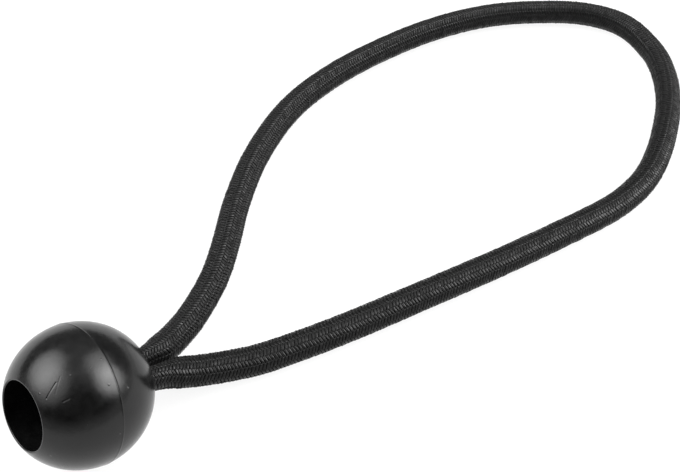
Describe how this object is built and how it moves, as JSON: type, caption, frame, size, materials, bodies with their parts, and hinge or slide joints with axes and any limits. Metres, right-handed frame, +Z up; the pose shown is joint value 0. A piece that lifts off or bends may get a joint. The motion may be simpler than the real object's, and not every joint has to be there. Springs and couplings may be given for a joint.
{
  "type": "ball bungee cord",
  "caption": "Ball bungee: a loop of braided elastic cord whose ends are crimped together inside a moulded plastic ball, for tying down tarpaulins and bundling cables.",
  "frame": {"origin": "on the table under the middle of the ball", "axes": "+Z up from the table, +X from the ball along the loop, which lies on the table; the ball's mouth looks to -X and 22 degrees up"},
  "size_m": [0.185, 0.0777, 0.025],
  "materials": {
    "ball_plastic": "satin black moulded plastic with fine scratches",
    "cord_braid": "tight braid of black synthetic yarn",
    "core_latex": "natural latex strand",
    "clip_steel": "plated steel strip"
  },
  "bodies": {
    "crimped_cord": {"crimp_clip": "clip_steel", "sheath_end_a": "cord_braid", "strand_1_end_a": "core_latex", "strand_2_end_a": "core_latex", "strand_3_end_a": "core_latex", "strand_4_end_a": "core_latex", "strand_5_end_a": "core_latex", "strand_6_end_a": "core_latex", "strand_7_end_a": "core_latex", "sheath_leg_a": "cord_braid", "strand_1_leg_a": "core_latex", "strand_2_leg_a": "core_latex", "strand_3_leg_a": "core_latex", "strand_4_leg_a": "core_latex", "strand_5_leg_a": "core_latex", "strand_6_leg_a": "core_latex", "strand_7_leg_a": "core_latex", "sheath_leg_b": "cord_braid", "strand_1_leg_b": "core_latex", "strand_2_leg_b": "core_latex", "strand_3_leg_b": "core_latex", "strand_4_leg_b": "core_latex", "strand_5_leg_b": "core_latex", "strand_6_leg_b": "core_latex", "strand_7_leg_b": "core_latex", "sheath_end_b": "cord_braid", "strand_1_end_b": "core_latex", "strand_2_end_b": "core_latex", "strand_3_end_b": "core_latex", "strand_4_end_b": "core_latex", "strand_5_end_b": "core_latex", "strand_6_end_b": "core_latex", "strand_7_end_b": "core_latex"},
    "ball_body": {"ball": "ball_plastic"},
    "loop_bend": {"sheath_bend": "cord_braid", "strand_1_bend": "core_latex", "strand_2_bend": "core_latex", "strand_3_bend": "core_latex", "strand_4_bend": "core_latex", "strand_5_bend": "core_latex", "strand_6_bend": "core_latex", "strand_7_bend": "core_latex"}
  },
  "joints": [
    {"name": "ball_spin", "type": "hinge", "parent": "crimped_cord", "child": "ball_body", "pos_m": [0, 0, 0.0125], "axis": [0.9272, 0, -0.3746], "continuous": true},
    {"name": "loop_stretch", "type": "slide", "parent": "crimped_cord", "child": "loop_bend", "axis": [1, 0, 0], "range_m": [0, 0.1], "stiffness_N_per_m": 1000, "deforming": ["sheath_leg_a", "strand_1_leg_a", "strand_2_leg_a", "strand_3_leg_a", "strand_4_leg_a", "strand_5_leg_a", "strand_6_leg_a", "strand_7_leg_a", "sheath_leg_b", "strand_1_leg_b", "strand_2_leg_b", "strand_3_leg_b", "strand_4_leg_b", "strand_5_leg_b", "strand_6_leg_b", "strand_7_leg_b"]}
  ]
}
